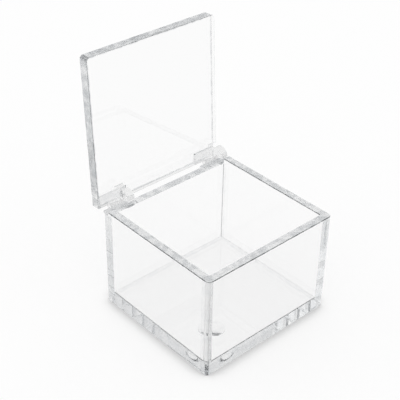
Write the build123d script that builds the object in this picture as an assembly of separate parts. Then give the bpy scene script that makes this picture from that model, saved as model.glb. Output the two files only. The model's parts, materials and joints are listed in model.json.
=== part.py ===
from build123d import *

import math
import os

# Clear acrylic box with a hinged lid, drawn with its lid open, as it stands in use.
# X runs across the box, +Y points to the hinge side and the underside lies on Z = 0.

# Box
box_width = 101.6
box_depth = 96.3
rim_height = 70.4
wall_thickness = 5.5
base_thickness = 7.6
corner_radius = 2.8
edge_polish = 0.35
cement_bead = 0.3

# Lid
lid_thickness = 7.4
lid_side_inset = 1.7
lid_front_inset = 0.2
lid_tail = 1.4
lid_corner_radius = 2.6
lid_seat_gap = 0.1
open_angle = 92.9

# Hinges
pin_drop = 2.9
pin_setback = 2.9
pin_radius = 0.8
pin_clearance = 0.05
leaf_thickness = 1.5
leaf_gap = 0.25
leaf_reach = 7.9
leaf_corner_radius = 0.6
hinge_length = 21.9
ear_length = 5.15
hinge_gap = 0.25
knuckle_radius = 2.55
knuckle_length = 9.6
pin_head_radius = 1.2
pin_head_thickness = 0.8
pin_head_gap = 0.15
ear_radius = 5.5
ear_rise = 1.7
ear_forward = 0.5
notch_clearance = 0.4
left_hinge_inset = 0.7

# Anti-slip pad inside the box
pad_radius = 6.2
pad_height = 3.0
pad_edge_height = 1.0
pad_from_left_wall = 21.2
pad_from_front_wall = 19.35

# How far a cutting shape runs past the face it cuts
overrun = 1.0

half_width = box_width / 2
half_depth = box_depth / 2
inner_half_width = half_width - wall_thickness
inner_half_depth = half_depth - wall_thickness

pin_y = half_depth + pin_setback
pin_z = rim_height - pin_drop

# Heights of the hinge leaves with the lid shut set how far the back wall stops below the rim
lid_underside = rim_height + lid_seat_gap
shut_leaf_underside = lid_underside - leaf_thickness
box_leaf_top = shut_leaf_underside - leaf_gap
back_wall_height = box_leaf_top - leaf_thickness

# Lid drawn shut first, from its front edge to the tail behind the pin, then turned open
lid_front_y = -half_depth + lid_front_inset
lid_back_y = pin_y + lid_tail
lid_half_width = half_width - lid_side_inset
pin_axis = Axis((0, pin_y, pin_z), (1, 0, 0))

# The round ear is drawn about a centre above the pin, and the lid's notch clears it at every angle
ear_y = pin_y - ear_forward
ear_z = pin_z + ear_rise
ear_sweep = math.hypot(ear_forward, ear_rise) + ear_radius + notch_clearance
notch_front_y = pin_y - math.sqrt(ear_sweep**2 - (lid_underside - pin_z) ** 2)

# Both hinges have their ear at the right-hand end
lid_leaf_length = hinge_length - ear_length - hinge_gap
hinge_starts = {
    "right": half_width - hinge_length,
    "left": -half_width + left_hinge_inset,
}


def block(x_low, x_high, y_low, y_high, z_low, z_high):
    """Box between two opposite corners."""
    low_corner = (x_low, y_low, z_low)
    size = (x_high - x_low, y_high - y_low, z_high - z_low)
    return Pos(*low_corner) * Box(*size, align=(Align.MIN, Align.MIN, Align.MIN))


def cylinder_along_x(x_low, x_high, y, z, radius):
    """Cylinder whose axis runs along X."""
    profile = Plane.YZ.offset(x_low) * Pos(y, z) * Circle(radius)
    return extrude(profile, x_high - x_low)


def edges_at(solid, axis, *places):
    """Edges along an axis whose middle lies at one of the given places in the other two directions."""
    found = ShapeList()
    for edge in solid.edges().filter_by(axis):
        middle = edge.center()
        for place in places:
            offset = Vector(*place) - middle
            along = offset.dot(axis.direction)
            if (offset - axis.direction * along).length < edge_polish:
                found.append(edge)
    return found


def make_base():
    """Floor plate, cemented between the four walls."""
    return block(
        -inner_half_width, inner_half_width, -inner_half_depth, inner_half_depth, 0, base_thickness
    )


def make_front_wall():
    """Full-width wall with its two outer upright edges rounded and its rim polished."""
    wall = block(-half_width, half_width, -half_depth, -inner_half_depth, 0, rim_height)
    uprights = edges_at(wall, Axis.Z, (-half_width, -half_depth, 0), (half_width, -half_depth, 0))
    wall = fillet(uprights, corner_radius)
    rim = edges_at(wall, Axis.X, (0, -half_depth, rim_height), (0, -inner_half_depth, rim_height))
    return chamfer(rim, edge_polish)


def make_back_wall():
    """Full-width wall that stops below the rim, so that the hinge leaves fit over it."""
    wall = block(-half_width, half_width, inner_half_depth, half_depth, 0, back_wall_height)
    uprights = edges_at(wall, Axis.Z, (-half_width, half_depth, 0), (half_width, half_depth, 0))
    wall = fillet(uprights, corner_radius)
    rim = edges_at(wall, Axis.X, (0, half_depth, back_wall_height))
    return chamfer(rim, edge_polish)


def make_corner_bead(side, end, top):
    """Bead of cement in one inner upright corner, from the base to a given height."""
    corner_x = side * inner_half_width
    corner_y = end * inner_half_depth
    profile = Polygon(
        (corner_x, corner_y),
        (corner_x - side * cement_bead, corner_y),
        (corner_x, corner_y - end * cement_bead),
        align=None,
    )
    return extrude(Pos(0, 0, base_thickness) * profile, top - base_thickness, dir=(0, 0, 1))


def make_side_wall(side):
    """Wall between the front and the back wall, on the left (-1) or on the right (1)."""
    outer = side * half_width
    inner = side * inner_half_width
    wall = block(
        min(outer, inner), max(outer, inner), -inner_half_depth, inner_half_depth, 0, rim_height
    )
    rim = edges_at(wall, Axis.Y, (outer, 0, rim_height), (inner, 0, rim_height))
    wall = chamfer(rim, edge_polish)
    wall += make_corner_bead(side, -1, rim_height - edge_polish)
    wall += make_corner_bead(side, 1, back_wall_height - edge_polish)
    return wall


def ear_span(hinge_start):
    """Where the box-side ear of a hinge starts and ends along X."""
    ear_high = hinge_start + hinge_length
    ear_low = ear_high - ear_length
    return ear_low, ear_high


def make_lid_plate():
    """Lid with rounded corners, polished edges and a notch for each ear, turned open."""
    plate = block(
        -lid_half_width,
        lid_half_width,
        lid_front_y,
        lid_back_y,
        lid_underside,
        lid_underside + lid_thickness,
    )
    corners = [
        (-lid_half_width, lid_front_y, 0),
        (lid_half_width, lid_front_y, 0),
    ]
    plate = fillet(edges_at(plate, Axis.Z, *corners), lid_corner_radius)
    plate = chamfer(plate.faces().sort_by(Axis.Z)[-1].edges(), edge_polish)
    for hinge_start in hinge_starts.values():
        ear_low, ear_high = ear_span(hinge_start)
        plate -= block(
            ear_low - notch_clearance,
            ear_high + notch_clearance,
            notch_front_y,
            lid_back_y + overrun,
            lid_underside - overrun,
            lid_underside + lid_thickness + overrun,
        )
    return plate.rotate(pin_axis, -open_angle)


def make_lid_leaf(hinge_start):
    """Leaf on the lid's inner face with the knuckle that turns on the pin."""
    leaf_high = hinge_start + lid_leaf_length
    leaf = block(
        hinge_start,
        leaf_high,
        pin_y - leaf_reach,
        pin_y,
        shut_leaf_underside,
        lid_underside,
    )
    front_corners = [
        (hinge_start, pin_y - leaf_reach, 0),
        (leaf_high, pin_y - leaf_reach, 0),
    ]
    leaf = fillet(edges_at(leaf, Axis.Z, *front_corners), leaf_corner_radius)
    knuckle_low = leaf_high - knuckle_length
    leaf += cylinder_along_x(knuckle_low, leaf_high, pin_y, pin_z, knuckle_radius)
    leaf -= cylinder_along_x(
        knuckle_low - overrun, leaf_high + overrun, pin_y, pin_z, pin_radius + pin_clearance
    )
    return leaf.rotate(pin_axis, -open_angle)


def make_box_leaf(hinge_start):
    """Leaf on top of the back wall with the round ear that holds the pin."""
    ear_low, ear_high = ear_span(hinge_start)
    leaf = block(
        hinge_start, ear_high, inner_half_depth, half_depth, back_wall_height, box_leaf_top
    )
    ear = cylinder_along_x(ear_low, ear_high, ear_y, ear_z, ear_radius)
    ear += cylinder_along_x(ear_low, ear_high, pin_y, pin_z, knuckle_radius)
    ear -= block(
        ear_low - overrun,
        ear_high + overrun,
        ear_y - ear_radius - overrun,
        half_depth,
        pin_z - ear_radius - overrun,
        back_wall_height,
    )
    leaf += ear
    leaf -= cylinder_along_x(
        ear_low - overrun, ear_high + overrun, pin_y, pin_z, pin_radius + pin_clearance
    )
    return leaf


def make_pin(hinge_start):
    """Pin through the ear and the lid's knuckle, with a head that keeps the knuckle on it."""
    knuckle_low = hinge_start + lid_leaf_length - knuckle_length
    head_high = knuckle_low - pin_head_gap
    head_low = head_high - pin_head_thickness
    shaft = cylinder_along_x(head_low, hinge_start + hinge_length, pin_y, pin_z, pin_radius)
    return shaft + cylinder_along_x(head_low, head_high, pin_y, pin_z, pin_head_radius)


def make_pad():
    """Clear domed pad stuck to the floor inside, near the front left corner."""
    crown = pad_height - pad_edge_height
    dome_radius = (pad_radius**2 + crown**2) / (2 * crown)
    dome = Pos(0, 0, pad_height - dome_radius) * Sphere(dome_radius)
    disc = Cylinder(pad_radius, pad_height, align=(Align.CENTER, Align.CENTER, Align.MIN))
    pad_x = pad_from_left_wall - inner_half_width
    pad_y = pad_from_front_wall - inner_half_depth
    return Pos(pad_x, pad_y, base_thickness) * (disc & dome)


def make_parts():
    """All sub-parts by node name."""
    parts = {
        "base": make_base(),
        "front_wall": make_front_wall(),
        "back_wall": make_back_wall(),
        "left_wall": make_side_wall(-1),
        "right_wall": make_side_wall(1),
        "lid_plate": make_lid_plate(),
        "floor_pad": make_pad(),
    }
    for side, hinge_start in hinge_starts.items():
        parts[side + "_lid_leaf"] = make_lid_leaf(hinge_start)
        parts[side + "_box_leaf"] = make_box_leaf(hinge_start)
        parts[side + "_hinge_pin"] = make_pin(hinge_start)
    return parts


os.makedirs("parts", exist_ok=True)
for node, shape in make_parts().items():
    shape.label = node
    export_step(shape, os.path.join("parts", node + ".step"))
print("pin axis", pin_y, pin_z)
print("back wall top", back_wall_height, "ear centre", ear_y, ear_z)
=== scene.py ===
import json
import math

import bmesh
import bpy
from mathutils import Matrix, Vector


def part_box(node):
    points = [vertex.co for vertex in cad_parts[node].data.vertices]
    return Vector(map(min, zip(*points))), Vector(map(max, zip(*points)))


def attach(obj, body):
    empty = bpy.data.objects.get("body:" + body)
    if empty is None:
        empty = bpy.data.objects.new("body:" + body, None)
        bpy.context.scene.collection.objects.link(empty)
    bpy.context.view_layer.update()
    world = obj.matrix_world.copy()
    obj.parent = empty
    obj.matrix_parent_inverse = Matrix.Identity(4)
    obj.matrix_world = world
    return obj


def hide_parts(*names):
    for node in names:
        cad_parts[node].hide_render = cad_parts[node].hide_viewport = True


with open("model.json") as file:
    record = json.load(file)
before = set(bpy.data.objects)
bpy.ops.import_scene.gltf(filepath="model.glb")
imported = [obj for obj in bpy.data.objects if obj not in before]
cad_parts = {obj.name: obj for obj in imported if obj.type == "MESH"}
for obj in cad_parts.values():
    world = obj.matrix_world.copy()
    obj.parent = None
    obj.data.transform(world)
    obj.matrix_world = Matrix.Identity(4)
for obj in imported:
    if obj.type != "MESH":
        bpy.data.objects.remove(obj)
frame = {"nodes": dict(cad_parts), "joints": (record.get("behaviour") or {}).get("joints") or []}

bl_info = {
    "name": "Clear acrylic box",
    "version": (1, 0, 0),
    "blender": (4, 5, 0),
    "location": "View3D > Sidebar > Acrylic Box",
    "description": "Models the clear acrylic box with its hinged lid and sets up its studio",
    "category": "Object",
}

CEMENTED = "cemented"
MACHINED = "machined"
JOINT_LINE = "joint_line"
NEAR = 0.00001

EDGE_STEPS = 6
CORNER_STEPS = 16
LID_CORNER_STEPS = 12
GROOVE_STEPS = 2
BORE_STEPS = 32
KNUCKLE_STEPS = 40
EAR_STEPS = 48
DOME_STEPS = 12
PAD_STEPS = 96
PIN_STEPS = 32
LIGHT_BOUNCES = 64
SHARP_ANGLE = 0.5
SLOPE = 0.5

hinge_joint = frame["joints"][0]
PIN = Vector(hinge_joint["pos_m"])
OPEN_ANGLE = math.radians(hinge_joint["range_deg"][1])


class SheetSettings(bpy.types.PropertyGroup):
    """Sizes of the walls, the base and the lid beyond those of the frame."""

    corner: bpy.props.FloatProperty(
        name="Corner",
        description="Radius of the upright outer corners",
        default=0.0028,
        unit="LENGTH",
    )
    edge: bpy.props.FloatProperty(
        name="Edge", description="Radius of the polished edges", default=0.0007, unit="LENGTH"
    )
    groove: bpy.props.FloatProperty(
        name="Groove", description="Bevel round the base's top", default=0.0004, unit="LENGTH"
    )
    bead: bpy.props.FloatProperty(
        name="Bead",
        description="Width of the cement bead in the inner upright corners",
        default=0.0003,
        unit="LENGTH",
    )
    front_line: bpy.props.FloatProperty(
        name="Front line",
        description="Share of the joint line in the front corners",
        default=0.3,
        subtype="FACTOR",
    )
    seam: bpy.props.FloatProperty(
        name="Seam",
        description="Thickness of the cement between two pieces",
        default=0.00003,
        unit="LENGTH",
    )
    lid_corner: bpy.props.FloatProperty(
        name="Lid corner",
        description="Radius of the lid's front corners",
        default=0.0026,
        unit="LENGTH",
    )
    notch_clearance: bpy.props.FloatProperty(
        name="Notch clearance",
        description="Room between the lid and each ear",
        default=0.0004,
        unit="LENGTH",
    )
    pad_edge: bpy.props.FloatProperty(
        name="Pad edge", description="Height of the pad's rim", default=0.001, unit="LENGTH"
    )


class HingeSettings(bpy.types.PropertyGroup):
    """Sizes of the two moulded hinges."""

    leaf: bpy.props.FloatProperty(
        name="Leaf",
        description="Thickness of a leaf",
        default=0.0015,
        unit="LENGTH",
    )
    leaf_corner: bpy.props.FloatProperty(
        name="Leaf corner",
        description="Radius of the lid leaf's corners",
        default=0.0006,
        unit="LENGTH",
    )
    knuckle: bpy.props.FloatProperty(
        name="Knuckle",
        description="Radius of the lid leaf's knuckle",
        default=0.00255,
        unit="LENGTH",
    )
    knuckle_length: bpy.props.FloatProperty(
        name="Knuckle length",
        description="Length of the knuckle on the pin",
        default=0.0096,
        unit="LENGTH",
    )
    bore: bpy.props.FloatProperty(
        name="Bore", description="Radius of the hole for the pin", default=0.00085, unit="LENGTH"
    )
    pin: bpy.props.FloatProperty(
        name="Pin",
        description="Radius of the pin",
        default=0.0008,
        unit="LENGTH",
    )
    head: bpy.props.FloatProperty(
        name="Head",
        description="Radius of the pin's head",
        default=0.0012,
        unit="LENGTH",
    )
    head_thickness: bpy.props.FloatProperty(
        name="Head thickness",
        description="Thickness of the pin's head",
        default=0.0008,
        unit="LENGTH",
    )
    ear: bpy.props.FloatProperty(
        name="Ear",
        description="Radius of the round ear",
        default=0.0055,
        unit="LENGTH",
    )
    ear_rise: bpy.props.FloatProperty(
        name="Ear rise",
        description="Height of the ear's centre over the pin",
        default=0.0017,
        unit="LENGTH",
    )
    ear_forward: bpy.props.FloatProperty(
        name="Ear forward",
        description="Distance of the ear's centre before the pin",
        default=0.0005,
        unit="LENGTH",
    )
    ear_length: bpy.props.FloatProperty(
        name="Ear length",
        description="Width of the ear along the pin",
        default=0.00515,
        unit="LENGTH",
    )
    shade: bpy.props.FloatProperty(
        name="Shade",
        description="Share of the joint line's colour in the moulded pieces",
        default=0.15,
        subtype="FACTOR",
    )
    air: bpy.props.FloatProperty(
        name="Air",
        description="Gap where a leaf only lies against a sheet",
        default=0.00005,
        unit="LENGTH",
    )


class AcrylicSettings(bpy.types.PropertyGroup):
    """Finish of the clear plastic."""

    ior: bpy.props.FloatProperty(name="IOR", description="Refraction of cast acrylic", default=1.49)
    density: bpy.props.FloatProperty(
        name="Density",
        description="Absorption per metre",
        default=2.4,
    )
    depth: bpy.props.FloatVectorProperty(
        name="Depth",
        description="Colour that light takes on along a long path",
        subtype="COLOR",
        default=(0.4, 0.42, 0.44),
    )
    haze: bpy.props.FloatProperty(
        name="Haze", description="Roughness of a polished face", default=0.004, subtype="FACTOR"
    )
    satin: bpy.props.FloatProperty(
        name="Satin", description="Roughness of a machined edge", default=0.1, subtype="FACTOR"
    )
    # Painted shade: a grey laid into the colour of the machined edges, darker in random patches.
    edge_painted_shade: bpy.props.FloatVectorProperty(
        name="Edge tint",
        description="Colour of a machined edge",
        subtype="COLOR",
        default=(0.6, 0.615, 0.63),
    )
    cement_tint: bpy.props.FloatVectorProperty(
        name="Cement tint",
        description="Colour of uneven cement",
        subtype="COLOR",
        default=(0.93, 0.935, 0.94),
    )
    line_tint: bpy.props.FloatVectorProperty(
        name="Line tint",
        description="Colour of the bead of cement",
        subtype="COLOR",
        default=(0.25, 0.255, 0.26),
    )
    clarity: bpy.props.FloatProperty(
        name="Clarity", description="Light that a polished face lets through", default=0.98, subtype="FACTOR"
    )
    haze_scale: bpy.props.FloatProperty(
        name="Haze scale", description="Changes of the polish per metre", default=90.0
    )
    patch_scale: bpy.props.FloatProperty(
        name="Patch scale", description="Patches of uneven cement per metre", default=200.0
    )


class StudioSettings(bpy.types.PropertyGroup):
    """Floor, light and camera."""

    distance: bpy.props.FloatProperty(
        name="Distance",
        description="From the aim point to the camera",
        default=0.6773,
        unit="LENGTH",
    )
    azimuth: bpy.props.FloatProperty(
        name="Azimuth",
        description="Turn of the camera round the box",
        default=math.radians(-42.53),
        unit="ROTATION",
    )
    elevation: bpy.props.FloatProperty(
        name="Elevation",
        description="Height angle of the camera",
        default=math.radians(33.91),
        unit="ROTATION",
    )
    roll: bpy.props.FloatProperty(
        name="Roll", description="Tilt of the camera", default=math.radians(1.10), unit="ROTATION"
    )
    lens: bpy.props.FloatProperty(
        name="Lens",
        description="Focal length in millimetres",
        default=87.97,
    )
    aim: bpy.props.FloatVectorProperty(
        name="Aim",
        description="Point in the middle of the frame",
        subtype="TRANSLATION",
        default=(0.04084, 0.0603, 0.03048),
    )
    floor_glow: bpy.props.FloatProperty(
        name="Floor glow",
        description="Share of the floor that stays white in the shadow",
        default=0.8,
        subtype="FACTOR",
    )
    inner_glow: bpy.props.FloatProperty(
        name="Inner glow",
        description="The same share where the floor is seen through the box",
        default=0.9,
        subtype="FACTOR",
    )
    # The next three settings shape a painted contact shadow: a dark line along the box drawn from ambient
    # occlusion, not cast by the lamps.
    painted_shadow_reach: bpy.props.FloatProperty(
        name="Contact reach",
        description="Width of the dark line along the box",
        default=0.012,
        unit="LENGTH",
    )
    painted_shadow_falloff: bpy.props.FloatProperty(
        name="Contact falloff", description="How steeply that line fades", default=2.5
    )
    painted_shadow_depth: bpy.props.FloatProperty(
        name="Contact depth",
        description="Darkest share of that line",
        default=0.36,
        subtype="FACTOR",
    )
    floor_size: bpy.props.FloatProperty(
        name="Floor size", description="Side of the square floor", default=8.0, unit="LENGTH"
    )
    sky: bpy.props.FloatProperty(
        name="Sky",
        description="Mean brightness of the studio round the box",
        default=1.0,
    )
    sky_side: bpy.props.FloatVectorProperty(
        name="Sky side",
        description="Where the studio is brighter, and by how much",
        subtype="XYZ",
        default=(-0.2, -0.02, 0.0),
    )


# Shapes


def block(low, high):
    """A box between two corners."""
    shape = bmesh.new()
    low = Vector(low)
    high = Vector(high)
    bmesh.ops.create_cube(shape, size=1.0)
    bmesh.ops.scale(shape, verts=shape.verts, vec=high - low)
    bmesh.ops.translate(shape, verts=shape.verts, vec=(low + high) / 2)
    return shape


def cut(shape, axis, *places):
    """Cuts the faces of a shape along planes across one axis."""
    normal = Vector((0, 0, 0))
    normal[axis] = 1
    for place in places:
        bmesh.ops.bisect_plane(
            shape,
            geom=shape.verts[:] + shape.edges[:] + shape.faces[:],
            dist=1e-7,
            plane_co=normal * place,
            plane_no=normal,
        )


def at(value, place):
    """True if a coordinate lies on a plane."""
    return abs(value - place) < NEAR


def sharp_edges(shape, test):
    """Edges between two faces at an angle whose ends both pass a test."""
    found = []
    for edge in shape.edges:
        if len(edge.link_faces) != 2 or edge.calc_face_angle() <= SHARP_ANGLE:
            continue
        if all(test(vert.co) for vert in edge.verts):
            found.append(edge)
    return found


def round_off(shape, edges, radius, segments):
    """Rounds edges by a radius."""
    bmesh.ops.bevel(
        shape,
        geom=edges,
        offset=radius,
        offset_type="OFFSET",
        segments=segments,
        profile=0.5,
        affect="EDGES",
        clamp_overlap=True,
        material=-1,
    )


def mark(shape, test, name=CEMENTED, share=1.0):
    """Marks the faces whose corners all pass a test, for the material to read."""
    marks = shape.faces.layers.float.get(name) or shape.faces.layers.float.new(name)
    for face in shape.faces:
        if all(test(vert.co) for vert in face.verts):
            face[marks] = share


def ring(shape, centre, radius, axis, segments):
    """Edges of a circle across an axis."""
    turn = Vector((0, 0, 1)).rotation_difference(axis).to_matrix().to_4x4()
    made = bmesh.ops.create_circle(
        shape, cap_ends=False, radius=radius, segments=segments, matrix=Matrix.Translation(centre) @ turn
    )
    verts = set(made["verts"])
    return [edge for edge in shape.edges if verts.issuperset(edge.verts)]


def chain(shape, places, closed=False):
    """Verts at places in a row and the edges between them."""
    verts = [shape.verts.new(place) for place in places]
    ends = verts[1:] + verts[:1] if closed else verts[1:]
    return verts, [shape.edges.new(pair) for pair in zip(verts, ends)]


def pull(shape, faces, offset):
    """Pulls a region of faces out by an offset."""
    made = bmesh.ops.extrude_face_region(shape, geom=faces)["geom"]
    verts = [item for item in made if isinstance(item, bmesh.types.BMVert)]
    bmesh.ops.translate(shape, verts=verts, vec=offset)


def finish_piece(node, body, shape):
    """Turns a shape into the piece that stands for a CAD node."""
    bmesh.ops.remove_doubles(shape, verts=shape.verts, dist=1e-6)
    bmesh.ops.recalc_face_normals(shape, faces=shape.faces)
    name = "v_" + node
    mesh = bpy.data.meshes.new(name)
    shape.to_mesh(mesh)
    shape.free()
    piece = bpy.data.objects.new(name, mesh)
    bpy.context.scene.collection.objects.link(piece)
    mesh.materials.append(finish("clear_acrylic", clear_acrylic))
    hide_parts(node)
    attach(piece, body)
    return piece


def turn_open(shape):
    """Turns a shape from the shut lid's place to the open one."""
    bmesh.ops.rotate(shape, verts=shape.verts, cent=PIN, matrix=Matrix.Rotation(-OPEN_ANGLE, 3, "X"))


def shut_box(node):
    """Lowest and highest corner of a node on the lid, with the lid shut."""
    turn = Matrix.Rotation(OPEN_ANGLE, 3, "X")
    places = [turn @ (vert.co - PIN) + PIN for vert in frame["nodes"][node].data.vertices]
    low = Vector([min(place[axis] for place in places) for axis in range(3)])
    high = Vector([max(place[axis] for place in places) for axis in range(3)])
    return low, high


# Finishes


def finish(name, make):
    """The material of one name, made when it is first asked for."""
    return bpy.data.materials.get(name) or make(name)


def combine(nodes, links, operation, *values):
    """Chain of one Math operation over several sockets."""
    result = values[0]
    for value in values[1:]:
        step = nodes.new("ShaderNodeMath")
        step.operation = operation
        links.new(result, step.inputs[0])
        links.new(value, step.inputs[1])
        result = step.outputs[0]
    return result


def scaled(nodes, links, socket, factor):
    """A socket times a constant."""
    step = nodes.new("ShaderNodeMath")
    step.operation = "MULTIPLY"
    step.inputs[1].default_value = factor
    links.new(socket, step.inputs[0])
    return step.outputs[0]


def spread(nodes, links, socket, low, high):
    """Spreads the middle of a noise between two values."""
    step = nodes.new("ShaderNodeMapRange")
    step.inputs["From Min"].default_value = 0.42
    step.inputs["From Max"].default_value = 0.58
    step.inputs["To Min"].default_value = low
    step.inputs["To Max"].default_value = high
    links.new(socket, step.inputs["Value"])
    return step.outputs["Result"]


def blend(nodes, links, factor, base, colour):
    """Blends a colour, which is a socket or a constant, towards a constant colour."""
    step = nodes.new("ShaderNodeMix")
    step.data_type = "RGBA"
    start, end = step.inputs[6:8]
    end.default_value = (*colour, 1.0)
    links.new(factor, step.inputs[0])
    if isinstance(base, bpy.types.NodeSocket):
        links.new(base, start)
    else:
        start.default_value = (base, base, base, 1.0)
    return step.outputs[2]


def clear_acrylic(name):
    """Clear plastic: a refracting body with a faintly uneven polish, with painted shade in patches on the
    machined edges.
    """
    settings = bpy.context.scene.acrylic_settings
    material = bpy.data.materials.new(name)
    material.use_nodes = True
    nodes = material.node_tree.nodes
    links = material.node_tree.links
    shader = nodes["Principled BSDF"]
    shader.inputs["Transmission Weight"].default_value = 1.0
    marks = nodes.new("ShaderNodeAttribute")
    marks.attribute_name = CEMENTED
    bend = nodes.new("ShaderNodeMapRange")
    bend.inputs["To Min"].default_value = settings.ior
    bend.inputs["To Max"].default_value = 1.0
    links.new(marks.outputs["Fac"], bend.inputs["Value"])
    links.new(bend.outputs["Result"], shader.inputs["IOR"])
    coords = nodes.new("ShaderNodeTexCoord")
    noise = nodes.new("ShaderNodeTexNoise")
    noise.inputs["Scale"].default_value = settings.haze_scale
    noise.inputs["Detail"].default_value = 2.0
    links.new(coords.outputs["Object"], noise.inputs["Vector"])
    haze = scaled(nodes, links, noise.outputs["Fac"], 2.0 * settings.haze)
    machined = nodes.new("ShaderNodeAttribute")
    machined.attribute_name = MACHINED
    rough = combine(nodes, links, "ADD", haze, scaled(nodes, links, machined.outputs["Fac"], settings.satin))
    links.new(rough, shader.inputs["Roughness"])
    patches = nodes.new("ShaderNodeTexNoise")
    patches.inputs["Scale"].default_value = settings.patch_scale
    patches.inputs["Detail"].default_value = 1.0
    links.new(coords.outputs["Object"], patches.inputs["Vector"])
    # Painted shade on the machined edges: noise patches darken the edge colour; the satin roughness on them
    # is real.
    painted_shade = spread(nodes, links, patches.outputs["Fac"], 0.1, 1.0)
    light = spread(nodes, links, patches.outputs["Fac"], 1.0, 0.0)
    edge = combine(nodes, links, "MULTIPLY", machined.outputs["Fac"], painted_shade)
    glue = combine(nodes, links, "MULTIPLY", marks.outputs["Fac"], light)
    line = nodes.new("ShaderNodeAttribute")
    line.attribute_name = JOINT_LINE
    tint = blend(nodes, links, edge, settings.clarity, settings.edge_painted_shade)
    tint = blend(nodes, links, glue, tint, settings.cement_tint)
    tint = blend(nodes, links, line.outputs["Fac"], tint, settings.line_tint)
    links.new(tint, shader.inputs["Base Color"])
    body = nodes.new("ShaderNodeVolumeAbsorption")
    body.inputs["Color"].default_value = (*settings.depth, 1.0)
    body.inputs["Density"].default_value = settings.density
    links.new(body.outputs[0], nodes["Material Output"].inputs["Volume"])
    return material


def studio_paper(name):
    """White floor with a soft shadow round the box, which is fainter where it is seen through the box; the
    dark line along the box is a painted contact shadow drawn from ambient occlusion.
    """
    settings = bpy.context.scene.studio_settings
    material = bpy.data.materials.new(name)
    material.use_nodes = True
    nodes = material.node_tree.nodes
    links = material.node_tree.links
    shader = nodes["Principled BSDF"]
    shader.inputs["Base Color"].default_value = (0.95, 0.95, 0.95, 1)
    shader.inputs["Roughness"].default_value = 1.0
    shader.inputs["Specular IOR Level"].default_value = 0.0
    path = nodes.new("ShaderNodeLightPath")
    glossy = path.outputs["Is Glossy Ray"]
    through = combine(nodes, links, "MAXIMUM", glossy, path.outputs["Is Transmission Ray"])
    clear = scaled(nodes, links, through, settings.inner_glow)
    direct = scaled(nodes, links, path.outputs["Is Camera Ray"], settings.floor_glow)
    share = combine(nodes, links, "ADD", clear, direct)
    # Painted contact shadow: ambient occlusion darkens the floor near the box, for camera rays only, by
    # mixing towards black.
    near = nodes.new("ShaderNodeAmbientOcclusion")
    near.inputs["Distance"].default_value = settings.painted_shadow_reach
    near.samples = 8
    painted_shadow_ramp = nodes.new("ShaderNodeMapRange")
    painted_shadow_ramp.interpolation_type = "LINEAR"
    painted_shadow_ramp.inputs["From Min"].default_value = 0.5
    painted_shadow_ramp.inputs["From Max"].default_value = 1.0
    painted_shadow_ramp.inputs["To Min"].default_value = 1.0
    painted_shadow_ramp.inputs["To Max"].default_value = 0.0
    links.new(near.outputs["AO"], painted_shadow_ramp.inputs["Value"])
    steep = nodes.new("ShaderNodeMath")
    steep.operation = "POWER"
    steep.inputs[1].default_value = settings.painted_shadow_falloff
    links.new(painted_shadow_ramp.outputs["Result"], steep.inputs[0])
    painted_shade = combine(nodes, links, "MULTIPLY", steep.outputs[0], path.outputs["Is Camera Ray"])
    painted_shade = scaled(nodes, links, painted_shade, settings.painted_shadow_depth)
    glow = nodes.new("ShaderNodeEmission")
    lit = nodes.new("ShaderNodeMixShader")
    links.new(share, lit.inputs[0])
    links.new(shader.outputs[0], lit.inputs[1])
    links.new(glow.outputs[0], lit.inputs[2])
    painted_shadow_black = nodes.new("ShaderNodeEmission")
    painted_shadow_black.inputs["Strength"].default_value = 0.0
    mix = nodes.new("ShaderNodeMixShader")
    links.new(painted_shade, mix.inputs[0])
    links.new(lit.outputs[0], mix.inputs[1])
    links.new(painted_shadow_black.outputs[0], mix.inputs[2])
    links.new(mix.outputs[0], nodes["Material Output"].inputs["Surface"])
    return material


# Pieces


def leaf_spans():
    """Where each box leaf starts and ends along X."""
    spans = []
    for side in ("left", "right"):
        low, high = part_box(side + "_box_leaf")
        spans.append((low.x, high.x))
    return spans


def make_full_wall(node):
    """A wall as wide as the box, with its outer corners rounded."""
    sheet = bpy.context.scene.sheet_settings
    low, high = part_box(node)
    outer_y = max(low.y, high.y, key=abs)
    end_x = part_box("base")[1].x - sheet.bead
    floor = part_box("base")[1].z - sheet.groove
    shape = block(low, high)
    uprights = sharp_edges(shape, lambda p: at(p.y, outer_y))
    uprights = [edge for edge in uprights if at(edge.verts[0].co.x, edge.verts[1].co.x)]
    round_off(shape, uprights, sheet.corner, CORNER_STEPS)
    cut(shape, 0, -end_x, end_x)
    cut(shape, 2, floor)
    return shape, low, high, end_x, floor


def outer_loop(shape, z, inner_y):
    """Outer edges at one height of a full-width wall."""
    edges = sharp_edges(shape, lambda p: at(p.z, z))
    return [edge for edge in edges if not all(at(vert.co.y, inner_y) for vert in edge.verts)]


class AcrylicBoxFrontWall(bpy.types.Operator):
    """Full-width front wall with rounded corners"""

    bl_idname = "acrylic_box.front_wall"
    bl_label = "Front wall"

    def execute(self, context):
        sheet = context.scene.sheet_settings
        shape, low, high, end_x, floor = make_full_wall("front_wall")
        outer = outer_loop(shape, low.z, high.y) + outer_loop(shape, high.z, high.y)
        inner = sharp_edges(shape, lambda p: at(p.z, high.z) and at(p.y, high.y) and abs(p.x) < end_x + NEAR)
        round_off(shape, outer + inner, sheet.edge, EDGE_STEPS)
        mark(shape, lambda p: at(p.y, high.y) and p.x > end_x - NEAR)
        mark(shape, lambda p: at(p.y, high.y) and p.x < -end_x + NEAR)
        mark(shape, lambda p: at(p.y, high.y) and p.z < floor + NEAR)
        mark(shape, lambda p: p.z > high.z - sheet.edge - NEAR, MACHINED)
        finish_piece("front_wall", "box", shape)
        return {"FINISHED"}


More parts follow.
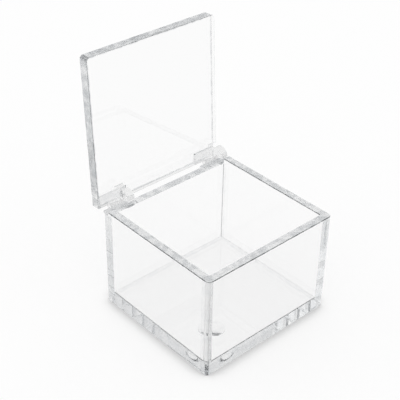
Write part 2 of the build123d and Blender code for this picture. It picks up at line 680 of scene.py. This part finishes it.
class AcrylicBoxBackWall(bpy.types.Operator):
    """Full-width back wall that stops below the rim, under the hinge leaves"""

    bl_idname = "acrylic_box.back_wall"
    bl_label = "Back wall"

    def execute(self, context):
        sheet = context.scene.sheet_settings
        shape, low, high, end_x, floor = make_full_wall("back_wall")
        (left_start, left_end), (right_start, right_end) = leaf_spans()
        cut(shape, 0, left_start, left_end, right_start)
        edges = outer_loop(shape, low.z, low.y)
        edges += sharp_edges(shape, lambda p: at(p.z, high.z) and left_end - NEAR < p.x < right_start + NEAR)
        round_off(shape, edges, sheet.edge, EDGE_STEPS)
        mark(shape, lambda p: at(p.y, low.y) and p.x > end_x - NEAR)
        mark(shape, lambda p: at(p.y, low.y) and p.x < -end_x + NEAR)
        mark(shape, lambda p: at(p.y, low.y) and p.z < floor + NEAR)
        mark(shape, lambda p: at(p.z, high.z) and left_start - NEAR < p.x < left_end + NEAR)
        mark(shape, lambda p: at(p.z, high.z) and right_start - NEAR < p.x)
        mark(shape, lambda p: p.z > high.z - sheet.edge - NEAR, MACHINED)
        finish_piece("back_wall", "box", shape)
        return {"FINISHED"}


class AcrylicBoxSideWalls(bpy.types.Operator):
    """Left and right wall between the front and the back wall"""

    bl_idname = "acrylic_box.side_walls"
    bl_label = "Side walls"

    def execute(self, context):
        sheet = context.scene.sheet_settings
        base_low, base_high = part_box("base")
        floor = base_high.z - sheet.groove
        back_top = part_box("back_wall")[1].z
        for node in ("left_wall", "right_wall"):
            low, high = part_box(node)
            low.y += sheet.seam
            high.y -= sheet.seam
            if low.x > 0:
                low.x = base_high.x
                inner, outer = low.x, high.x
            else:
                high.x = base_low.x
                inner, outer = high.x, low.x
            shape = block(low, high)
            cut(shape, 2, floor, back_top)
            edges = sharp_edges(shape, lambda p: at(p.z, high.z) and at(p.x, outer))
            edges += sharp_edges(shape, lambda p: at(p.z, high.z) and at(p.x, inner))
            edges += sharp_edges(shape, lambda p: at(p.z, low.z) and at(p.x, outer))
            round_off(shape, edges, sheet.edge, EDGE_STEPS)
            self.add_bead(shape, inner, low.y, low.y + sheet.bead, high.z - sheet.edge)
            self.add_bead(shape, inner, high.y, high.y - sheet.bead, back_top - sheet.edge)
            mark(shape, lambda p: at(p.y, low.y))
            mark(shape, lambda p: at(p.y, high.y) and p.z < back_top + NEAR)
            mark(shape, lambda p: at(p.x, inner) and p.z < floor + NEAR)
            mark(shape, lambda p: p.z > high.z - sheet.edge - NEAR, MACHINED)
            self.mark_beads(shape)
            finish_piece(node, "box", shape)
        return {"FINISHED"}

    def mark_beads(self, shape):
        """Marks the sloping face of each bead."""
        sheet = bpy.context.scene.sheet_settings
        marks = shape.faces.layers.float.new(JOINT_LINE)
        for face in shape.faces:
            if min(abs(face.normal.x), abs(face.normal.y)) > SLOPE:
                face[marks] = 1.0 if face.calc_center_median().y > 0 else sheet.front_line

    def add_bead(self, shape, inner, corner, free, top):
        """Adds the cement bead in one inner upright corner, from the corner to the bead's free edge."""
        sheet = bpy.context.scene.sheet_settings
        base_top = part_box("base")[1].z + sheet.seam
        cut(shape, 1, free)
        cut(shape, 2, base_top, top)
        low_y, high_y = sorted((corner, free))

        def inside(place):
            """True on the inner face where the bead stands."""
            across = low_y - NEAR < place.y < high_y + NEAR
            return at(place.x, inner) and across and base_top - NEAR < place.z < top + NEAR

        strip = [face for face in shape.faces if all(inside(vert.co) for vert in face.verts)]
        made = bmesh.ops.extrude_face_region(shape, geom=strip)["geom"]
        verts = [item for item in made if isinstance(item, bmesh.types.BMVert) and at(item.co.y, corner)]
        bmesh.ops.translate(shape, verts=verts, vec=(math.copysign(sheet.bead, -inner), 0, 0))
        bmesh.ops.delete(shape, geom=strip, context="FACES")
        bmesh.ops.remove_doubles(shape, verts=shape.verts, dist=1e-6)
        shape.normal_update()


class AcrylicBoxBase(bpy.types.Operator):
    """Floor plate between the walls, with the pad's place on it"""

    bl_idname = "acrylic_box.base"
    bl_label = "Base"

    def execute(self, context):
        sheet = context.scene.sheet_settings
        low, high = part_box("base")
        low += Vector((sheet.seam, sheet.seam, 0))
        high -= Vector((sheet.seam, sheet.seam, 0))
        pad_low, pad_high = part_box("floor_pad")
        centre = (pad_low + pad_high) / 2
        centre.z = high.z
        radius = (pad_high.x - pad_low.x) / 2
        shape = block(low, high)
        round_off(shape, sharp_edges(shape, lambda p: at(p.z, high.z)), sheet.groove, GROOVE_STEPS)
        mark(shape, lambda p: p.z > high.z - sheet.groove - NEAR, JOINT_LINE)
        top = [face for face in shape.faces if all(at(vert.co.z, high.z) for vert in face.verts)]
        outline = top[0].edges[:]
        bmesh.ops.delete(shape, geom=top, context="FACES_ONLY")
        circle = ring(shape, centre, radius, Vector((0, 0, 1)), PAD_STEPS)
        bmesh.ops.triangle_fill(shape, use_beauty=True, edges=outline + circle)
        bmesh.ops.contextual_create(shape, geom=circle)
        for axis in range(2):
            mark(shape, lambda p: at(p[axis], low[axis]))
            mark(shape, lambda p: at(p[axis], high[axis]))
        mark(shape, lambda p: at(p.z, high.z) and (p - centre).length < radius + NEAR)
        finish_piece("base", "box", shape)
        return {"FINISHED"}


class AcrylicBoxPad(bpy.types.Operator):
    """Clear domed pad on the floor inside"""

    bl_idname = "acrylic_box.pad"
    bl_label = "Pad"

    def execute(self, context):
        sheet = context.scene.sheet_settings
        low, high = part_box("floor_pad")
        centre = (low + high) / 2
        radius = (high.x - low.x) / 2
        crown = high.z - low.z - sheet.pad_edge
        low.z += sheet.seam
        dome = (radius**2 + crown**2) / (2 * crown)
        shape = bmesh.new()
        top = shape.verts.new((centre.x, centre.y, high.z))
        made = bmesh.ops.spin(
            shape,
            geom=[top],
            cent=(centre.x, centre.y, high.z - dome),
            axis=(0, 1, 0),
            angle=math.asin(radius / dome),
            steps=DOME_STEPS,
            use_merge=False,
        )
        rim = [item for item in made["geom_last"] if isinstance(item, bmesh.types.BMVert)][0]
        foot = shape.verts.new((rim.co.x, centre.y, low.z))
        middle = shape.verts.new((centre.x, centre.y, low.z))
        shape.edges.new((rim, foot))
        shape.edges.new((foot, middle))
        bmesh.ops.spin(
            shape,
            geom=shape.verts[:] + shape.edges[:],
            cent=centre,
            axis=(0, 0, 1),
            angle=2 * math.pi,
            steps=PAD_STEPS,
            use_merge=True,
        )
        bmesh.ops.remove_doubles(shape, verts=shape.verts, dist=1e-6)
        mark(shape, lambda p: at(p.z, low.z))
        finish_piece("floor_pad", "box", shape)
        return {"FINISHED"}


class AcrylicBoxLid(bpy.types.Operator):
    """Lid plate with rounded front corners and a notch round each ear"""

    bl_idname = "acrylic_box.lid"
    bl_label = "Lid"

    def execute(self, context):
        sheet = context.scene.sheet_settings
        hinge = context.scene.hinge_settings
        low, high = shut_box("lid_plate")
        sweep = math.hypot(hinge.ear_forward, hinge.ear_rise) + hinge.ear + sheet.notch_clearance
        notch_y = PIN.y - math.sqrt(sweep**2 - (low.z - PIN.z) ** 2)
        (left_start, left_end), (right_start, right_end) = leaf_spans()
        left_notch = left_end - hinge.ear_length - sheet.notch_clearance
        left_notch_end = left_end + sheet.notch_clearance
        right_notch = right_end - hinge.ear_length - sheet.notch_clearance
        outline = [
            (low.x, low.y),
            (high.x, low.y),
            (high.x, notch_y),
            (right_notch, notch_y),
            (right_notch, high.y),
            (left_notch_end, high.y),
            (left_notch_end, notch_y),
            (left_notch, notch_y),
            (left_notch, high.y),
            (low.x, high.y),
        ]
        shape = bmesh.new()
        verts, edges = chain(shape, [(x, y, low.z) for x, y in outline], closed=True)
        face = shape.faces.new(verts)
        pull(shape, [face], (0, 0, high.z - low.z))
        bmesh.ops.recalc_face_normals(shape, faces=shape.faces)
        corners = sharp_edges(shape, lambda p: at(p.y, low.y))
        corners = [edge for edge in corners if at(edge.verts[0].co.x, edge.verts[1].co.x)]
        round_off(shape, corners, sheet.lid_corner, LID_CORNER_STEPS)
        edges = sharp_edges(shape, lambda p: at(p.z, low.z)) + sharp_edges(shape, lambda p: at(p.z, high.z))
        round_off(shape, edges, sheet.edge, EDGE_STEPS)
        for side in ("left", "right"):
            leaf_low, leaf_high = shut_box(side + "_lid_leaf")
            cut(shape, 0, leaf_low.x, leaf_high.x)
            cut(shape, 1, leaf_low.y, PIN.y)
        for side in ("left", "right"):
            leaf_low, leaf_high = shut_box(side + "_lid_leaf")
            mark(
                shape,
                lambda p: at(p.z, low.z)
                and leaf_low.x - NEAR < p.x < leaf_high.x + NEAR
                and leaf_low.y - NEAR < p.y < PIN.y + NEAR,
            )
        mark(shape, lambda p: p.x < low.x + sheet.edge + NEAR, MACHINED)
        mark(shape, lambda p: p.x > high.x - sheet.edge - NEAR, MACHINED)
        mark(shape, lambda p: p.y < low.y + sheet.edge + NEAR, MACHINED)
        mark(shape, lambda p: p.y > high.y - sheet.edge - NEAR, MACHINED)
        turn_open(shape)
        finish_piece("lid_plate", "lid", shape)
        return {"FINISHED"}


class AcrylicBoxLidLeaves(bpy.types.Operator):
    """Leaf on the lid with its knuckle, at each hinge"""

    bl_idname = "acrylic_box.lid_leaves"
    bl_label = "Lid leaves"

    def execute(self, context):
        hinge = context.scene.hinge_settings
        for side in ("left", "right"):
            node = side + "_lid_leaf"
            low, high = shut_box(node)
            under = high.z - hinge.leaf
            high.z -= context.scene.sheet_settings.seam
            x = high.x - hinge.knuckle_length
            start_y = PIN.y - math.sqrt(hinge.knuckle**2 - (under - PIN.z) ** 2)
            shape = bmesh.new()
            plate, edges = chain(
                shape,
                [
                    (x, low.y, under),
                    (x, start_y, under),
                    (x, PIN.y, under),
                    (x, PIN.y, PIN.z + hinge.knuckle),
                    (x, PIN.y, high.z),
                    (x, low.y, high.z),
                ],
                closed=True,
            )
            plate_face = shape.faces.new(plate)
            turn = 2 * math.pi - math.acos((under - PIN.z) / hinge.knuckle)
            draw_arc(shape, plate[3], plate[1], PIN, -turn, KNUCKLE_STEPS)
            fill_round(shape, plate_face, (x, PIN.y, PIN.z))
            draw_out(shape, x, low.y, hinge.knuckle_length, low.x - x)
            corners = sharp_edges(shape, lambda p: at(p.y, low.y))
            corners = [edge for edge in corners if at(edge.verts[0].co.x, edge.verts[1].co.x)]
            round_off(shape, corners, hinge.leaf_corner, EDGE_STEPS)
            mark(shape, lambda p: at(p.z, high.z))
            mark(shape, lambda p: True, JOINT_LINE, hinge.shade)
            turn_open(shape)
            finish_piece(node, "lid", shape)
        return {"FINISHED"}


def draw_arc(shape, start, end, centre, angle, steps):
    """Draws an arc across X from one vert to another."""
    made = bmesh.ops.spin(
        shape, geom=[start], cent=centre, axis=(1, 0, 0), angle=angle, steps=steps, use_merge=False
    )
    last = [item for item in made["geom_last"] if isinstance(item, bmesh.types.BMVert)]
    bmesh.ops.pointmerge(shape, verts=[end] + last, merge_co=end.co.copy())


def fill_round(shape, plate_face, centre):
    """Fills the round part of a cross-section round its bore."""
    outline = [edge for edge in shape.edges if len(edge.link_faces) == 0]
    shared = shared_edges(plate_face, outline)
    bore = ring(shape, Vector(centre), bpy.context.scene.hinge_settings.bore, Vector((1, 0, 0)), BORE_STEPS)
    bmesh.ops.triangle_fill(shape, use_beauty=True, edges=outline + shared + bore)


def draw_out(shape, x, front_y, length, plate_length):
    """Draws a cross-section out along X, and its plate further the other way."""
    pull(shape, shape.faces[:], (length, 0, 0))
    flat = [
        face
        for face in shape.faces
        if all(at(v.co.x, x) for v in face.verts) and any(at(v.co.y, front_y) for v in face.verts)
    ]
    pull(shape, flat, (plate_length, 0, 0))
    bmesh.ops.delete(shape, geom=flat, context="FACES_ONLY")
    bmesh.ops.recalc_face_normals(shape, faces=shape.faces)


def shared_edges(face, outline):
    """The edges of a face that close an open outline whose two ends lie on it."""
    ends = {}
    for edge in outline:
        for vert in edge.verts:
            ends[vert] = ends.get(vert, 0) + 1
    first, last = [vert for vert, count in ends.items() if count == 1]
    verts = face.verts[:]
    i = verts.index(first)
    j = verts.index(last)
    i, j = min(i, j), max(i, j)
    edges = {frozenset(edge.verts): edge for edge in face.edges}
    return [edges[frozenset((verts[k], verts[k + 1]))] for k in range(i, j)]


class AcrylicBoxBoxLeaves(bpy.types.Operator):
    """Leaf on the back wall with its round ear, at each hinge"""

    bl_idname = "acrylic_box.box_leaves"
    bl_label = "Box leaves"

    def execute(self, context):
        hinge = context.scene.hinge_settings
        wall_low, wall_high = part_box("back_wall")
        ear_y = PIN.y - hinge.ear_forward
        ear_z = PIN.z + hinge.ear_rise
        for side in ("left", "right"):
            node = side + "_box_leaf"
            low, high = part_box(node)
            under = wall_high.z + context.scene.sheet_settings.seam
            top = wall_high.z + hinge.leaf
            front = wall_low.y + hinge.air
            back = wall_high.y + hinge.air
            x = high.x - hinge.ear_length
            ear_start = ear_y - math.sqrt(hinge.ear**2 - (ear_z - top) ** 2)
            ear_low = ear_z - math.sqrt(hinge.ear**2 - (ear_y - back) ** 2)
            shape = bmesh.new()
            plate, edges = chain(
                shape,
                [
                    (x, front, under),
                    (x, front, top),
                    (x, ear_start, top),
                    (x, wall_high.y, top),
                    (x, wall_high.y, under),
                ],
                closed=True,
            )
            plate_face = shape.faces.new(plate)
            step = shape.verts.new((x, back, under))
            foot = shape.verts.new((x, back, ear_low))
            shape.edges.new((plate[4], step))
            shape.edges.new((step, foot))
            start = math.atan2(ear_low - ear_z, back - ear_y)
            end = math.atan2(top - ear_z, ear_start - ear_y)
            draw_arc(shape, foot, plate[2], (x, ear_y, ear_z), end - start + 2 * math.pi, EAR_STEPS)
            fill_round(shape, plate_face, (x, PIN.y, PIN.z))
            draw_out(shape, x, front, hinge.ear_length, low.x - x)
            mark(shape, lambda p: at(p.z, under) and p.y < wall_high.y + NEAR)
            mark(shape, lambda p: True, JOINT_LINE, hinge.shade)
            finish_piece(node, "box", shape)
        return {"FINISHED"}


class AcrylicBoxPins(bpy.types.Operator):
    """Headed pin in each hinge"""

    bl_idname = "acrylic_box.pins"
    bl_label = "Pins"

    def execute(self, context):
        hinge = context.scene.hinge_settings
        for side in ("left", "right"):
            node = side + "_hinge_pin"
            low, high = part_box(node)
            shape = bmesh.new()
            profile = [
                (low.x, 0),
                (low.x, hinge.head),
                (low.x + hinge.head_thickness, hinge.head),
                (low.x + hinge.head_thickness, hinge.pin),
                (high.x, hinge.pin),
                (high.x, 0),
            ]
            verts, edges = chain(shape, [(x, PIN.y, PIN.z + radius) for x, radius in profile])
            bmesh.ops.spin(
                shape,
                geom=verts + edges,
                cent=PIN,
                axis=(1, 0, 0),
                angle=2 * math.pi,
                steps=PIN_STEPS,
                use_merge=True,
            )
            finish_piece(node, "box", shape)
        return {"FINISHED"}


class AcrylicBoxStudio(bpy.types.Operator):
    """Floor, light and camera"""

    bl_idname = "acrylic_box.studio"
    bl_label = "Studio"

    def execute(self, context):
        scene = context.scene
        settings = scene.studio_settings
        mesh = bpy.data.meshes.new("studio_floor")
        shape = bmesh.new()
        bmesh.ops.create_grid(shape, x_segments=1, y_segments=1, size=settings.floor_size / 2)
        bmesh.ops.translate(shape, verts=shape.verts, vec=(0, 0, -0.0001))
        shape.to_mesh(mesh)
        shape.free()
        floor = bpy.data.objects.new("studio_floor", mesh)
        scene.collection.objects.link(floor)
        mesh.materials.append(finish("studio_paper", studio_paper))

        world = bpy.data.worlds.new("studio_light")
        world.use_nodes = True
        scene.world = world
        background = world.node_tree.nodes["Background"]
        tree = world.node_tree
        coords = tree.nodes.new("ShaderNodeTexCoord")
        side = tree.nodes.new("ShaderNodeVectorMath")
        side.operation = "DOT_PRODUCT"
        side.inputs[1].default_value = settings.sky_side
        level = tree.nodes.new("ShaderNodeMath")
        level.operation = "ADD"
        level.inputs[1].default_value = settings.sky
        tree.links.new(coords.outputs["Generated"], side.inputs[0])
        tree.links.new(side.outputs["Value"], level.inputs[0])
        tree.links.new(level.outputs[0], background.inputs["Strength"])
        background.inputs["Color"].default_value = (1, 1, 1, 1)

        back = Vector(
            (
                math.sin(settings.azimuth) * math.cos(settings.elevation),
                -math.cos(settings.azimuth) * math.cos(settings.elevation),
                math.sin(settings.elevation),
            )
        )
        camera_data = bpy.data.cameras.new("studio_camera")
        camera = bpy.data.objects.new("studio_camera", camera_data)
        scene.collection.objects.link(camera)
        camera_data.lens = settings.lens
        camera_data.sensor_width = 36.0
        camera_data.clip_start = 0.01
        turn = back.to_track_quat("Z", "Y").to_matrix().to_4x4()
        camera.matrix_world = (
            Matrix.Translation(Vector(settings.aim) + back * settings.distance)
            @ turn
            @ Matrix.Rotation(settings.roll, 4, "Z")
        )
        scene.camera = camera
        scene.view_settings.view_transform = "Standard"
        scene.cycles.max_bounces = LIGHT_BOUNCES
        scene.cycles.transmission_bounces = LIGHT_BOUNCES
        scene.cycles.glossy_bounces = LIGHT_BOUNCES
        scene.cycles.transparent_max_bounces = LIGHT_BOUNCES
        return {"FINISHED"}


class AcrylicBoxPanel(bpy.types.Panel):
    """Lists the pieces and the studio"""

    bl_idname = "VIEW3D_PT_acrylic_box"
    bl_label = "Acrylic box"
    bl_space_type = "VIEW_3D"
    bl_region_type = "UI"
    bl_category = "Acrylic Box"

    def draw(self, context):
        column = self.layout.column()
        for step in STEPS:
            column.operator(step.bl_idname)


STEPS = (
    AcrylicBoxFrontWall,
    AcrylicBoxBackWall,
    AcrylicBoxSideWalls,
    AcrylicBoxBase,
    AcrylicBoxPad,
    AcrylicBoxLid,
    AcrylicBoxLidLeaves,
    AcrylicBoxBoxLeaves,
    AcrylicBoxPins,
    AcrylicBoxStudio,
)
SETTINGS = {
    "sheet_settings": SheetSettings,
    "hinge_settings": HingeSettings,
    "acrylic_settings": AcrylicSettings,
    "studio_settings": StudioSettings,
}


def register():
    for name, group in SETTINGS.items():
        bpy.utils.register_class(group)
        setattr(bpy.types.Scene, name, bpy.props.PointerProperty(type=group))
    for step in (*STEPS, AcrylicBoxPanel):
        bpy.utils.register_class(step)


def unregister():
    for step in (AcrylicBoxPanel, *reversed(STEPS)):
        bpy.utils.unregister_class(step)
    for name, group in reversed(SETTINGS.items()):
        delattr(bpy.types.Scene, name)
        bpy.utils.unregister_class(group)


def corners(bounds):
    """Two corners as plain lists."""
    return [list(corner) for corner in bounds]


def main():
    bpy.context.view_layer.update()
    register()
    bpy.ops.acrylic_box.front_wall()
    bpy.ops.acrylic_box.back_wall()
    bpy.ops.acrylic_box.side_walls()
    bpy.ops.acrylic_box.base()
    bpy.ops.acrylic_box.pad()
    bpy.ops.acrylic_box.lid()
    bpy.ops.acrylic_box.lid_leaves()
    bpy.ops.acrylic_box.box_leaves()
    bpy.ops.acrylic_box.pins()
    bpy.ops.acrylic_box.studio()


if __name__ == "__main__":
    main()
